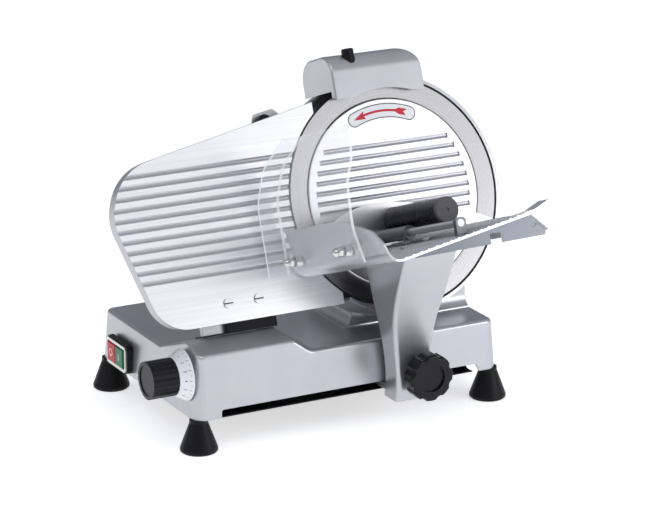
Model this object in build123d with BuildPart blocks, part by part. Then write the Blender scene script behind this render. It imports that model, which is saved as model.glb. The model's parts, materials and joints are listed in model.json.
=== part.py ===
from build123d import *
import math
import os

# Deli meat slicer with a tilted 250 mm blade. Millimetres, +Z up, operator's side at -Y.
# The origin is under the middle of the whole machine, on the surface that it stands on.

# ---------------------------------------------------------------- driving dimensions
base_x = 15.8            # x of the middle of the base
base_y = -41.0           # y of the base's lower front edge
base_length = 370.6
base_depth = 246.0
base_bottom = 35.7       # height of the feet
deck_z = 91.8
draft = 4.5              # slope of the base's walls, degrees
corner_radius = 13.0
wall = 4.0
foot_radius = 20.4
foot_inset_x = 7.5
foot_inset_y = 10.0

tilt = 20.0              # lean of the blade from the vertical, degrees
blade_x, blade_y, blade_z = 84.4, 58.2, 236.0      # blade centre from the base's front middle
blade_radius = 125.0
cover_radius = 103.3
rim_inner, rim_outer = 127.5, 131.0
drum_front, drum_back = -38.0, -44.0               # back plate of the blade housing
pulley_back, pulley_front = -58.0, -47.0
motor_drop = 70.0        # belt centre distance

plate_depth = 15.0       # gauge plate, front face to rim edge
gauge_travel = 12.0
dial_turn = 290.0        # degrees for the whole gauge travel
dial_y, dial_z = 29.5, 80.5

rib_pitch = 11.3
rod_y, rod_z, rod_radius = 26.0, 52.0, 7.0         # carriage guide rod
running = 0.05           # radial clearance of running fits

# ---------------------------------------------------------------- places and planes
cos_t = math.cos(math.radians(tilt))
sin_t = math.sin(math.radians(tilt))
centre = (base_x + blade_x, base_y + blade_y, blade_z)
axis_n = (0, -cos_t, sin_t)      # out of the blade's face
axis_u = (0, sin_t, cos_t)       # up the blade's face
blade_plane = Plane(origin=centre, x_dir=(1, 0, 0), z_dir=axis_n)


def at(x, y, z):
    """A point measured from the middle of the base's front edge."""
    return (base_x + x, base_y + y, z)


def on_blade(x, u, n):
    """A point measured from the blade's centre: right, up the face, out of the face."""
    return (centre[0] + x, centre[1] + u * sin_t - n * cos_t, centre[2] + u * cos_t + n * sin_t)


def front_plane(y):
    """Upright plane facing the operator, with x and z as its own axes."""
    return Plane(origin=at(0, y, 0), x_dir=(1, 0, 0), z_dir=(0, -1, 0))


def side_plane(x):
    """Upright plane facing right, with y and z as its own axes."""
    return Plane(origin=at(x, 0, 0), x_dir=(0, 1, 0), z_dir=(1, 0, 0))


def block(x0, x1, y0, y1, z0, z1, mode=Mode.ADD):
    """A box between two corners measured like at()."""
    with Locations(at((x0 + x1) / 2, (y0 + y1) / 2, (z0 + z1) / 2)):
        Box(x1 - x0, y1 - y0, z1 - z0, mode=mode)


def slab(x0, x1, u0, u1, n0, n1, mode=Mode.ADD):
    """A box between two corners measured like on_blade()."""
    with BuildSketch(blade_plane.offset(n0)) as outline:
        with Locations(((x0 + x1) / 2, (u0 + u1) / 2)):
            Rectangle(x1 - x0, u1 - u0)
    extrude(outline.sketch, amount=n1 - n0, mode=mode)


def bar(start, axis, radius, length, bore=0.0, mode=Mode.ADD):
    """A round bar or tube from a point along an axis."""
    with BuildSketch(Plane(origin=start, z_dir=axis)) as outline:
        Circle(radius)
        if bore:
            Circle(bore, mode=Mode.SUBTRACT)
    extrude(outline.sketch, amount=length, mode=mode)


def hub(x, u, n0, n1, radius, bore=0.0, mode=Mode.ADD):
    """A round bar or tube square to the blade's face."""
    bar(on_blade(x, u, n0), axis_n, radius, n1 - n0, bore, mode)


def finish(piece, name):
    """Label a finished piece and write its STEP file."""
    piece.part.label = name
    export_step(piece.part, f"parts/{name}.step")


os.makedirs("parts", exist_ok=True)

# ---------------------------------------------------------------- base casting
crest_y, crest_z = 34.0, 115.0           # top line of the raised beam at the front left
shoulder_z = 104.0
ramp_end_y = crest_y + (crest_z - deck_z) / math.tan(math.radians(tilt))
beam_slope_start, beam_slope_end = -80.0, -46.0
slot_left, slot_right, slot_top = -155.0, 160.0, 44.5
foot_places = [(sx * (base_length / 2 - foot_inset_x), y)
               for sx in (-1, 1) for y in (foot_inset_y, base_depth - foot_inset_y)]
cover_posts = [(-176, 150), (176, 150), (-90, 237), (90, 237)]
switch_y, switch_z = 188.0, 55.0
rail_y0, rail_y1, rail_z0, rail_z1 = 84.0, 96.0, 54.0, 60.0
gauge_rod_u = -138.0
gauge_rod_x = (-233.0, -184.0)           # from the blade's centre
gauge_rod_back, gauge_rod_front = -93.0, -16.0


def walls(inset):
    """The tapered outside of the base, moved in by inset."""
    with BuildPart() as prism:
        with BuildSketch(Plane.XY.offset(base_bottom)):
            with Locations((base_x, base_y + base_depth / 2)):
                RectangleRounded(base_length - 2 * inset, base_depth - 2 * inset, corner_radius - inset)
        extrude(amount=100, taper=draft)
    return prism.part


def roof(inset):
    """The space under the deck and the raised beam, moved in by inset."""
    with BuildPart() as beam:
        with BuildSketch(side_plane(-base_length)):
            with BuildLine():
                Polyline((-30, 50), (-30, shoulder_z - 12), (3, shoulder_z), (crest_y, crest_z),
                         (ramp_end_y + 20, deck_z - 20 * math.tan(math.radians(tilt))), (140, 50), close=True)
            make_face()
            fillet(vertices().filter_by_position(Axis.Y, crest_z - 1, crest_z + 1), 9)
            if inset:
                offset(amount=-inset)
        extrude(amount=2 * base_length)
        with BuildSketch(front_plane(base_depth + 10)):
            with BuildLine():
                Polyline((-250, 40), (10, 40), (10, deck_z), (beam_slope_end, deck_z),
                         (beam_slope_start, crest_z + 2), (beam_slope_start, 140), (-250, 140), close=True)
            make_face()
            fillet(vertices().filter_by_position(Axis.X, beam_slope_end - 1, beam_slope_end + 1), 16)
            if inset:
                offset(amount=-inset)
        extrude(amount=2 * base_depth, mode=Mode.INTERSECT)
    with BuildPart() as body:
        block(-200, 200, -20, base_depth + 20, base_bottom - 10, deck_z - inset)
        add(beam.part)
    return body.part


with BuildPart() as cavity:
    add(walls(wall))
    add(roof(wall), mode=Mode.INTERSECT)
    block(-200, 200, -20, base_depth + 20, base_bottom - 1, base_bottom)
    # bosses, posts and lugs that stay solid inside the casting
    for x, y in foot_places:
        bar(at(x, y, base_bottom - 2), (0, 0, 1), 11, 26, mode=Mode.SUBTRACT)
    for x, y in cover_posts:
        bar(at(x, y, base_bottom - 2), (0, 0, 1), 6, 26, mode=Mode.SUBTRACT)
    for x0, x1 in ((-190, -168), (168, 190)):
        bar(at(x0, rod_y, rod_z), (1, 0, 0), 12, x1 - x0, mode=Mode.SUBTRACT)
        block(x0, x1, rail_y0 - 4, rail_y1 + 4, rail_z0 - 5, rail_z1 + 5, mode=Mode.SUBTRACT)
    for x in gauge_rod_x:
        slab(x - 9, x + 9, gauge_rod_u - 8, -118, -24, -8, mode=Mode.SUBTRACT)
        slab(x - 9, x + 9, gauge_rod_u - 8, -118, -93, -86, mode=Mode.SUBTRACT)

with BuildPart() as base_casting:
    add(walls(0))
    add(roof(0), mode=Mode.INTERSECT)
    top_faces = base_casting.faces().filter_by(lambda f: f.normal_at().Z > 0.3)
    wall_faces = base_casting.faces().filter_by(lambda f: abs(f.normal_at().Z) < 0.15)
    fillet(top_faces.edges() & wall_faces.edges(), 4)
    add(cavity.part, mode=Mode.SUBTRACT)
    # slot along the foot of the front wall, where the carriage arm passes under the base
    with BuildSketch(front_plane(8)):
        with BuildLine():
            Polyline((slot_left, 30), (slot_left, slot_top), (slot_right - 3, slot_top), (slot_right + 4, 30),
                     close=True)
        make_face()
        fillet(vertices().filter_by_position(Axis.Y, slot_top - 1, slot_top + 1), 3)
    extrude(amount=16, mode=Mode.SUBTRACT)
    # dial shaft, switch and rod holes in the end walls
    bar(at(-190, dial_y, dial_z), (1, 0, 0), 6, 20, mode=Mode.SUBTRACT)
    block(-190, -175, switch_y - 22, switch_y + 22, switch_z - 13, switch_z + 13, mode=Mode.SUBTRACT)
    bar(at(-178, rod_y, rod_z), (1, 0, 0), rod_radius, 356, mode=Mode.SUBTRACT)
    block(-176, 176, rail_y0, rail_y1, rail_z0, rail_z1, mode=Mode.SUBTRACT)
    for x, y in foot_places:
        bar(at(x, y, base_bottom - 1), (0, 0, 1), 3, 20, mode=Mode.SUBTRACT)
    for x, y in cover_posts:
        bar(at(x, y, base_bottom - 1), (0, 0, 1), 2, 14, mode=Mode.SUBTRACT)
    # gauge slide rods and the slot in the ramp for the gauge bracket
    for x in gauge_rod_x:
        hub(x, gauge_rod_u, gauge_rod_back, gauge_rod_front, 5, mode=Mode.SUBTRACT)
    slab(-244, -173, -128, -114, -46.5, -25, mode=Mode.SUBTRACT)
finish(base_casting, "base_casting")

# ---------------------------------------------------------------- feet and bottom cover
for x, y in foot_places:
    with BuildPart() as foot:
        with BuildSketch(Plane(origin=at(x, y, 0), x_dir=(1, 0, 0), z_dir=(0, -1, 0))):
            with BuildLine():
                Polyline((3, 9), (3, base_bottom), (10, base_bottom), (10, 32), (11.2, 29),
                         (foot_radius, 4), (foot_radius, 1.5), (foot_radius - 1.5, 0), (7, 0), (7, 9),
                         close=True)
            make_face()
        revolve(axis=Axis(at(x, y, 0), (0, 0, 1)))
    finish(foot, "foot_" + ("front" if y < 100 else "rear") + ("_left" if x < 0 else "_right"))

with BuildPart() as foot_screws:
    for x, y in foot_places:
        bar(at(x, y, 5), (0, 0, 1), 6, 4)
        bar(at(x, y, 9), (0, 0, 1), 3, 43)
finish(foot_screws, "foot_screws")

cover_thickness = 1.2
with BuildPart() as bottom_cover:
    with BuildSketch(Plane.XY.offset(base_bottom - cover_thickness)):
        with Locations((base_x, base_y + base_depth / 2)):
            Rectangle(base_length - 8, base_depth - 8)
        for x, y in foot_places:
            with Locations((base_x + x, base_y + y)):
                Circle(24, mode=Mode.SUBTRACT)
        for x, y in cover_posts:
            with Locations((base_x + x, base_y + y)):
                Circle(2.1, mode=Mode.SUBTRACT)
        with Locations((base_x + 40, base_y + 170)):
            with GridLocations(16, 0, 6, 1):
                SlotOverall(50, 6, rotation=90, mode=Mode.SUBTRACT)
    extrude(amount=cover_thickness)
finish(bottom_cover, "bottom_cover")

with BuildPart() as cover_screws:
    for x, y in cover_posts:
        bar(at(x, y, base_bottom - cover_thickness - 2), (0, 0, 1), 4, 2)
        bar(at(x, y, base_bottom - cover_thickness), (0, 0, 1), 2, 12)
finish(cover_screws, "cover_screws")

# ---------------------------------------------------------------- switch
switch_face, wall_face = -191.0, -185.1
with BuildPart() as switch_body:
    block(switch_face, wall_face, switch_y - 26, switch_y + 26, switch_z - 16.5, switch_z + 16.5)
    fillet(edges().filter_by(Axis.X), 5)
    block(wall_face, -150, switch_y - 21.5, switch_y + 21.5, switch_z - 12.5, switch_z + 12.5)
    block(switch_face - 1, -180, switch_y - 20.5, switch_y + 20.5, switch_z - 11.5, switch_z + 11.5,
          mode=Mode.SUBTRACT)
finish(switch_body, "switch_body")

with BuildPart() as switch_bezel:
    block(switch_face - 2, switch_face, switch_y - 24.5, switch_y + 24.5, switch_z - 15, switch_z + 15)
    fillet(edges().filter_by(Axis.X), 4.5)
    block(switch_face - 3, switch_face + 1, switch_y - 20.5, switch_y + 20.5,
          switch_z - 11.5, switch_z + 11.5, mode=Mode.SUBTRACT)
finish(switch_bezel, "switch_bezel")

button_reach = {"stop_button": (0.4, 20), "start_button": (-20, -0.4)}
for name, (y0, y1) in button_reach.items():
    with BuildPart() as button:
        block(switch_face - 3.5, -183, switch_y + y0, switch_y + y1, switch_z - 11, switch_z + 11)
        fillet(button.edges().group_by(Axis.X)[0], 1.2)
    finish(button, name)

# ---------------------------------------------------------------- blade housing and column
def column_block(inset):
    """Upright column with a flared foot, moved in by inset."""
    with BuildPart() as column:
        with BuildSketch(front_plane(215)):
            with BuildLine():
                Polyline((16 + inset, 60), (16 + inset, deck_z), (33 + inset, deck_z), (33 + inset, 120),
                         (8 + inset, 170), (8 + inset, 215), (168 - inset, 215), (177 - inset, 118),
                         (178 - inset, 60), close=True)
            make_face()
            fillet(vertices().filter_by_position(Axis.X, 32 + inset, 34 + inset), 15)
        extrude(amount=200)
        with BuildSketch(side_plane(-100)):
            with BuildLine():
                Polyline((44 + inset, 60), (44 + inset, deck_z), (61 + inset, deck_z), (61 + inset, 220),
                         (210 - inset, 220), (210 - inset, 60), close=True)
            make_face()
            fillet(vertices().filter_by_position(Axis.X, 60 + inset, 62 + inset)
                   .filter_by_position(Axis.Y, deck_z - 1, deck_z + 1), 15)
        extrude(amount=400, mode=Mode.INTERSECT)
    return column.part


def housing_profile(inset, n0, n1):
    """Upper housing behind the drum, round the driven pulley."""
    with BuildSketch(blade_plane.offset(n0)) as outline:
        Circle(56 - inset)
        with Locations((0, -40)):
            Rectangle(112 - 2 * inset, 80)
    extrude(outline.sketch, amount=n1 - n0)


def ring_sector(n0, n1, first, last):
    """Part of the ring guard between two angles, counted from the right, upwards."""
    with BuildSketch(blade_plane.offset(n0)) as outline:
        Circle(rim_outer)
        Circle(rim_inner, mode=Mode.SUBTRACT)
        step = math.radians(first + 360 - last) / 12
        turns = [math.radians(last) + i * step for i in range(13)]
        points = [(200 * math.cos(turn), 200 * math.sin(turn)) for turn in turns]
        with BuildLine():
            Polyline((0, 0), *points, close=True)
        make_face(mode=Mode.SUBTRACT)
    extrude(outline.sketch, amount=n1 - n0)


with BuildPart() as column_shell:
    add(column_block(0))
    slab(-200, 200, -24, 120, -300, 100, mode=Mode.SUBTRACT)
    housing_profile(0, -84, drum_back)
    slab(-200, 200, -300, 200, drum_back, 200, mode=Mode.SUBTRACT)
    slab(-200, 200, -300, 200, -300, -140, mode=Mode.SUBTRACT)
    block(-100, 250, 0, 300, 0, deck_z, mode=Mode.SUBTRACT)

with BuildPart() as column_cavity:
    add(column_block(5))
    slab(-200, 200, -29, 120, -300, 100, mode=Mode.SUBTRACT)
    housing_profile(5, -86, drum_back)
    slab(-200, 200, -300, 200, drum_back, 200, mode=Mode.SUBTRACT)
    slab(-200, 200, -300, 200, -300, -135, mode=Mode.SUBTRACT)
    block(-100, 250, 0, 300, 0, deck_z - 1, mode=Mode.SUBTRACT)

with BuildPart() as blade_housing:
    add(column_shell.part)
    add(column_cavity.part, mode=Mode.SUBTRACT)
    hub(0, 0, drum_back, drum_front, rim_outer)
    ring_sector(drum_front, 0, -125, 65)
    ring_sector(drum_front, -32, 65, 125)
    hub(0, 0, drum_back, -14, 30)
    hub(0, 0, drum_back - 1, -13, 21, mode=Mode.SUBTRACT)
    slab(-16, 16, -motor_drop - 14, -motor_drop + 14, drum_back - 1, drum_front - 3, mode=Mode.SUBTRACT)
    hub(0, -motor_drop, -141, -134, 26, mode=Mode.SUBTRACT)
finish(blade_housing, "blade_housing")

with BuildPart() as rear_cover:
    with BuildSketch(blade_plane.offset(-90)):
        Circle(56)
        with Locations((0, -12)):
            Rectangle(112, 24)
        with Locations((0, -74)):
            Rectangle(200, 100, mode=Mode.SUBTRACT)
    extrude(amount=6)
    fillet(edges().group_by(Axis((0, 0, 0), axis_n))[0], 2)
    hub(0, 0, -91, -83, 5 + running, mode=Mode.SUBTRACT)
finish(rear_cover, "rear_cover")

with BuildPart() as motor_cover:
    hub(0, -motor_drop, -144, -140, 30)
    for row in range(-2, 3):
        middle = -motor_drop + row * 8
        slab(-18, 18, middle - 1.8, middle + 1.8, -145, -139, mode=Mode.SUBTRACT)
finish(motor_cover, "motor_cover")

# ---------------------------------------------------------------- motor and belt drive
with BuildPart() as motor_body:
    hub(0, -motor_drop, -130, -64, 33)
    fillet(edges().filter_by(GeomType.CIRCLE), 3)
    # flange and the pillars that hang it on the housing's back plate
    slab(-40, 40, -motor_drop - 26, -motor_drop + 26, -64, -61)
    for x in (-34, 34):
        hub(x, -motor_drop, -61, drum_back, 5)
    hub(0, -motor_drop, -131, -60, 4 + running, mode=Mode.SUBTRACT)
finish(motor_body, "motor_body")

with BuildPart() as motor_shaft:
    hub(0, -motor_drop, -126, -46, 4)
finish(motor_shaft, "motor_shaft")

with BuildPart() as motor_pulley:
    hub(0, -motor_drop, pulley_back, pulley_front, 12, 4)
finish(motor_pulley, "motor_pulley")

belt_big, belt_small, belt_thickness = 42.1, 12.1, 2.5
belt_lean = math.asin((belt_big - belt_small) / motor_drop)


def belt_outline(extra, mode=Mode.ADD):
    """The belt's run round both pulleys, moved out by extra."""
    big, small = belt_big + extra, belt_small + extra
    across, up = math.cos(belt_lean), -math.sin(belt_lean)
    with BuildSketch(blade_plane.offset(pulley_back + 1)) as outline:
        with BuildLine():
            Line((big * across, big * up), (small * across, small * up - motor_drop))
            ThreePointArc((small * across, small * up - motor_drop), (0, -motor_drop - small),
                          (-small * across, small * up - motor_drop))
            Line((-small * across, small * up - motor_drop), (-big * across, big * up))
            ThreePointArc((-big * across, big * up), (0, big), (big * across, big * up))
        make_face()
    extrude(outline.sketch, amount=pulley_front - pulley_back - 2, mode=mode)


with BuildPart() as drive_belt:
    belt_outline(belt_thickness)
    belt_outline(0, mode=Mode.SUBTRACT)
finish(drive_belt, "drive_belt")

with BuildPart() as hub_bearings:
    for n in (-40, -25):
        hub(0, 0, n, n + 9, 21, 15 + running)
finish(hub_bearings, "hub_bearings")

# ---------------------------------------------------------------- blade, hub and cover
hub_bore = 6.5
screw_circle = 24.0
with BuildPart() as blade_hub:
    hub(0, 0, pulley_back, -12, 15, hub_bore)
    hub(0, 0, pulley_back, pulley_front, 42, 15)
    hub(0, 0, -13.5, -11, 33, hub_bore)
    with BuildSketch(blade_plane.offset(-13.6)):
        with PolarLocations(screw_circle, 4, 45):
            Circle(2.5)
    extrude(amount=4, mode=Mode.SUBTRACT)
finish(blade_hub, "blade_hub")

with BuildPart() as blade:
    with BuildSketch(Plane(origin=centre, x_dir=(1, 0, 0), z_dir=(0, -sin_t, -cos_t))):
        with BuildLine():
            Polyline((16, -11), (103, -11), (108, -4), (124.2, -2.6), (blade_radius, 0), (105, -1.2),
                     (104, -1.8), (104, -8), (16, -8), close=True)
        make_face()
    revolve(axis=Axis(centre, axis_n))
    with BuildSketch(blade_plane.offset(-12)):
        with PolarLocations(screw_circle, 4, 45):
            Circle(2.5)
    extrude(amount=6, mode=Mode.SUBTRACT)
finish(blade, "blade")

with BuildPart() as blade_screws:
    with BuildSketch(blade_plane.offset(-8)):
        with PolarLocations(screw_circle, 4, 45):
            Circle(4)
    extrude(amount=1.6)
    with BuildSketch(blade_plane.offset(-13)):
        with PolarLocations(screw_circle, 4, 45):
            Circle(2.5)
    extrude(amount=5)
finish(blade_screws, "blade_screws")

groove_depth = 1.5
groove_radius = 3.4


def groove(start, length, height):
    """One round-bottomed groove across a face at n = 0, from start to the right."""
    bottom = on_blade(start, height, groove_radius - groove_depth)
    bar(bottom, (1, 0, 0), groove_radius, length, mode=Mode.SUBTRACT)


with BuildPart() as blade_cover:
    hub(0, 0, -6, 0, cover_radius)
    chamfer(edges().group_by(Axis((0, 0, 0), axis_n))[-1], 0.8)
    hub(0, 0, -7, -3, cover_radius - 4, mode=Mode.SUBTRACT)
    hub(0, 0, -7, -3, 12)
    for i in range(11):
        u = 53.9 - i * 11.0
        reach = math.sqrt(94 ** 2 - u ** 2)
        groove(-reach, 2 * reach, u)
    hub(0, 0, -7.5, -2, 5, mode=Mode.SUBTRACT)
finish(blade_cover, "blade_cover")

with BuildPart() as cover_tie_rod:
    hub(0, 0, -102, -2, 5)
finish(cover_tie_rod, "cover_tie_rod")

with BuildPart() as cover_lock_knob:
    hub(0, 0, -108, -90.5, 17)
    with BuildSketch(blade_plane.offset(-109)):
        with PolarLocations(19.5, 6):
            Circle(5)
    extrude(amount=20, mode=Mode.SUBTRACT)
    fillet(edges().group_by(Axis((0, 0, 0), axis_n))[0], 1.5)
    hub(0, 0, -102, -90, 5 + running, mode=Mode.SUBTRACT)
finish(cover_lock_knob, "cover_lock_knob")

# ---------------------------------------------------------------- slice deflector behind the gauge plate
with BuildPart() as slice_deflector:
    with BuildSketch(blade_plane.offset(-54)):
        with BuildLine():
            Polyline((-60, -20), (-60, 70), (-104, 112), (-128, 108), (-134, 90), (-112, 40), (-112, -20),
                     close=True)
        make_face()
        fillet(vertices().filter_by_position(Axis.X, -140, -100), 5)
    extrude(amount=1.5)
    for u in (-5, 50):
        hub(-78, u, -52.5, drum_back, 6)
    hub(-119, 99, -55, -51, 3, mode=Mode.SUBTRACT)
finish(slice_deflector, "slice_deflector")

with BuildPart() as deflector_knob:
    hub(-119, 99, -52.2, -40, 7.5)
    fillet(edges().group_by(Axis((0, 0, 0), axis_n))[-1], 5)
    hub(-119, 99, -60, -52.2, 3 - running)
finish(deflector_knob, "deflector_knob")

# ---------------------------------------------------------------- sharpener
hood_front, hood_back = 11.0, -62.0
hood_left, hood_right, hood_top = -58.0, 52.0, 157.0
hood_wall = 4.0
stone_x, stone_u = -34.0, 135.0
trimmer_x, trimmer_u = 14.0, 139.0
plunger_x, plunger_n, plunger_radius = -30.0, 2.0, 6.8


def hood_block(inset, bottom):
    """The hood's loaf shape down to a level, moved in by inset."""
    left, right, top = hood_left + inset, hood_right - inset, hood_top - inset
    back, front = hood_back + inset, hood_front - inset
    with BuildPart() as loaf:
        with BuildSketch(Plane(origin=on_blade(right, 0, 0), x_dir=axis_n, z_dir=(-1, 0, 0))):
            with BuildLine():
                Polyline((back, bottom), (back, top), (front, top), (front, bottom), close=True)
            make_face()
            fillet(vertices().sort_by_distance((back, top))[0], 24 - inset)
            fillet(vertices().sort_by_distance((front, top))[0], 20 - inset)
        extrude(amount=right - left)
        if not inset:
            fillet(faces().sort_by(Axis.X)[0].edges().sort_by(Axis.Z)[1:], 2.5)
        with BuildSketch(blade_plane.offset(hood_back - 10)):
            with BuildLine():
                Polyline((left - 9, bottom), (left - 9, top), (right, top), (right, bottom), close=True)
            make_face()
            fillet(vertices().sort_by_distance((right, top))[0], 26 - inset)
        extrude(amount=100, mode=Mode.INTERSECT)
    return loaf.part


with BuildPart() as sharpener_hood:
    add(hood_block(0, 108))
    add(hood_block(hood_wall, 90), mode=Mode.SUBTRACT)
    hub(0, 0, -80, 4, rim_outer, mode=Mode.SUBTRACT)
    hub(0, 0, 3, 20, 114.5, mode=Mode.SUBTRACT)
    bar(on_blade(plunger_x, 140, plunger_n), axis_u, plunger_radius + 0.3, 30, mode=Mode.SUBTRACT)
finish(sharpener_hood, "sharpener_hood")

with BuildPart() as sharpener_plunger:
    bar(on_blade(plunger_x, 143.5, plunger_n), axis_u, plunger_radius, 18.5)
    fillet(edges().group_by(Axis((0, 0, 0), axis_u))[-1], 2)
finish(sharpener_plunger, "sharpener_plunger")

for name, x, u, n0, n1, radius in (("grinding_stone", stone_x, stone_u, -24, -12, 15),
                                   ("truing_stone", trimmer_x, trimmer_u, -22, -13, 12)):
    with BuildPart() as stone:
        hub(x, u, n0, n1, radius, 3 + running)
    finish(stone, name)

with BuildPart() as stone_spindles:
    for x, u in ((stone_x, stone_u), (trimmer_x, trimmer_u)):
        hub(x, u, hood_back + 4, -10, 3)
        hub(x, u, -10.9, -9, 4.5)
        hub(x, u, -28, -25.2, 5)
    add(sharpener_hood.part, mode=Mode.SUBTRACT)
finish(stone_spindles, "stone_spindles")

# ---------------------------------------------------------------- gauge plate
plate_edge_radius = 127.2


def gauge_outline(n0, n1, inset=0.0, mode=Mode.ADD):
    """The plate's outline, moved in by inset, between two distances from the face."""
    with BuildSketch(blade_plane.offset(n0)) as outline:
        with BuildLine():
            Polyline((-60, 113.8), (-269, 73.7), (-315, 64), (-333, 14), (-294, -110), (-60, -110),
                     close=True)
        make_face()
        for corner, radius in ((-315, 56), (-333, 52), (-294, 42)):
            fillet(vertices().filter_by_position(Axis.X, corner - 1, corner + 1), radius)
        Circle(plate_edge_radius, mode=Mode.SUBTRACT)
        with Locations((-40, 0)):
            Rectangle(83, 300, mode=Mode.SUBTRACT)
        if inset:
            offset(amount=-inset)
    extrude(outline.sketch, amount=n1 - n0, mode=mode)


with BuildPart() as gauge_plate:
    gauge_outline(-plate_depth, 0)
    gauge_outline(-plate_depth - 1, -4, inset=4, mode=Mode.SUBTRACT)
    for i in range(11):
        groove(-350, 350, 57 - i * rib_pitch)
    # pads behind the screws and the threaded holes in them
    for x in (-217, -181):
        hub(x, -89.4, -plate_depth, -4, 9)
        hub(x, -89.4, -plate_depth - 1, 1, 3, mode=Mode.SUBTRACT)
finish(gauge_plate, "gauge_plate")

with BuildPart() as gauge_screws:
    for x in (-217, -181):
        hub(x, -89.4, -plate_depth - 4, 0, 3)
        hub(x, -89.4, 0, 1.2, 5.5)
        slab(x - 6, x + 6, -90, -88.8, 0.5, 2, mode=Mode.SUBTRACT)
finish(gauge_screws, "gauge_screws")

bracket_front, bracket_back = -33.5, -26.5
with BuildPart() as gauge_bracket:
    # upright behind the plate, web to the rear, leg down through the ramp
    slab(-236, -162, -104, -74, -19, -plate_depth)
    slab(-236, -162, -108, -100, bracket_front, -plate_depth)
    slab(-240, -177, -130, -100, bracket_front, bracket_back)
    for x in (-217, -181):
        hub(x, -89.4, -20, -14, 3, mode=Mode.SUBTRACT)
finish(gauge_bracket, "gauge_bracket")

follower_x0, follower_x1 = -188.0, -176.0
cam_low = 5.0
dial_u = (dial_y - blade_y) * sin_t + (dial_z - blade_z) * cos_t
dial_n = -(dial_y - blade_y) * cos_t + (dial_z - blade_z) * sin_t
follower_n = dial_n - cam_low - 3.3
with BuildPart() as gauge_slide:
    slab(-243, -174, -146, -130, -44, -26)
    # leg beside the dial's cam, with the follower pin that the cam pushes
    slab(follower_x0, follower_x1, -159, -146, follower_n - 5, follower_n + 5)
    bar(on_blade(follower_x0, dial_u, follower_n), (-1, 0, 0), 2.2, 13)
    # relief for the top of the cam
    slab(-203, -193, -147, -136, -45, -25, mode=Mode.SUBTRACT)
    for x in gauge_rod_x:
        hub(x, gauge_rod_u, -75, -20, 5 + running, mode=Mode.SUBTRACT)
finish(gauge_slide, "gauge_slide")

with BuildPart() as gauge_rods:
    for x in gauge_rod_x:
        hub(x, gauge_rod_u, gauge_rod_back, gauge_rod_front, 5)
finish(gauge_rods, "gauge_rods")

with BuildPart() as ramp_seal:
    # dark strip that closes the ramp slot and moves with the bracket
    slab(-243, -155, -121.5, -119.8, -42, -20)
    slab(-214, -155, -119.8, -109.5, -22.5, -20)
    slab(-240.1, -176.9, -125, -115, bracket_front - 0.1, bracket_back + 0.1, mode=Mode.SUBTRACT)
finish(ramp_seal, "ramp_seal")

# ---------------------------------------------------------------- thickness dial
scale_radius, scale_front, scale_rim, scale_back = 28.5, -199.0, -187.0, -185.6
knob_radius, knob_front = 20.5, -229.0
flutes = 20
with BuildPart() as dial_scale:
    # cone that widens from the knob to the wall
    with BuildSketch(Plane(origin=at(0, dial_y, dial_z), x_dir=(1, 0, 0), z_dir=(0, -1, 0))):
        with BuildLine():
            Polyline((scale_front, 6 - running), (scale_front, knob_radius), (scale_rim, scale_radius),
                     (scale_back, scale_radius), (scale_back, 6 - running), close=True)
        make_face()
    revolve(axis=Axis(at(0, dial_y, dial_z), (1, 0, 0)))
finish(dial_scale, "dial_scale")

with BuildPart() as dial_knob:
    with BuildSketch(side_plane(knob_front)):
        with Locations((dial_y, dial_z)):
            Circle(knob_radius)
            with PolarLocations(knob_radius + 1.3, flutes):
                Circle(1.8, mode=Mode.SUBTRACT)
    extrude(amount=scale_front - knob_front)
    bar(at(knob_front - 1, dial_y, dial_z), (1, 0, 0), knob_radius - 4, 2, mode=Mode.SUBTRACT)
    bar(at(knob_front + 6, dial_y, dial_z), (1, 0, 0), 6 - running, 40, mode=Mode.SUBTRACT)
finish(dial_knob, "dial_knob")

cam_x0, cam_x1 = -116.6, -110.1
with BuildPart() as dial_shaft:
    bar(at(knob_front + 6, dial_y, dial_z), (1, 0, 0), 6 - running, cam_x1 - knob_front - 6)
    # rising cam at the inner end: its radius grows evenly with the dial's turn
    with BuildSketch(side_plane(cam_x0)):
        with BuildLine():
            angles = [-22 + i * 334 / 24 for i in range(25)]
            rim_points = []
            for turn in angles:
                radius = cam_low + gauge_travel * turn / dial_turn
                spot = math.radians(-tilt - turn)
                rim_points.append((dial_y + radius * math.cos(spot), dial_z + radius * math.sin(spot)))
            Spline(*rim_points)
            Line(rim_points[-1], rim_points[0])
        make_face()
    extrude(amount=cam_x1 - cam_x0)
finish(dial_shaft, "dial_shaft")

# ---------------------------------------------------------------- carriage guide
with BuildPart() as guide_rod:
    bar(at(-178, rod_y, rod_z), (1, 0, 0), rod_radius, 356)
finish(guide_rod, "guide_rod")

with BuildPart() as guide_rail:
    block(-176, 176, rail_y0, rail_y1, rail_z0, rail_z1)
finish(guide_rail, "guide_rail")

tongue_z0, tongue_z1 = 37.0, 43.5
with BuildPart() as carriage_slider:
    block(15, 105, 12.5, 39.5, tongue_z1, 61)
    fillet(edges().filter_by(Axis.X), 3)
    bar(at(14, rod_y, rod_z), (1, 0, 0), rod_radius + running, 92, mode=Mode.SUBTRACT)
finish(carriage_slider, "carriage_slider")

with BuildPart() as slide_shoe:
    block(50, 70, 84.5, 95.5, tongue_z1, rail_z0 - 0.3)
finish(slide_shoe, "slide_shoe")

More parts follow.
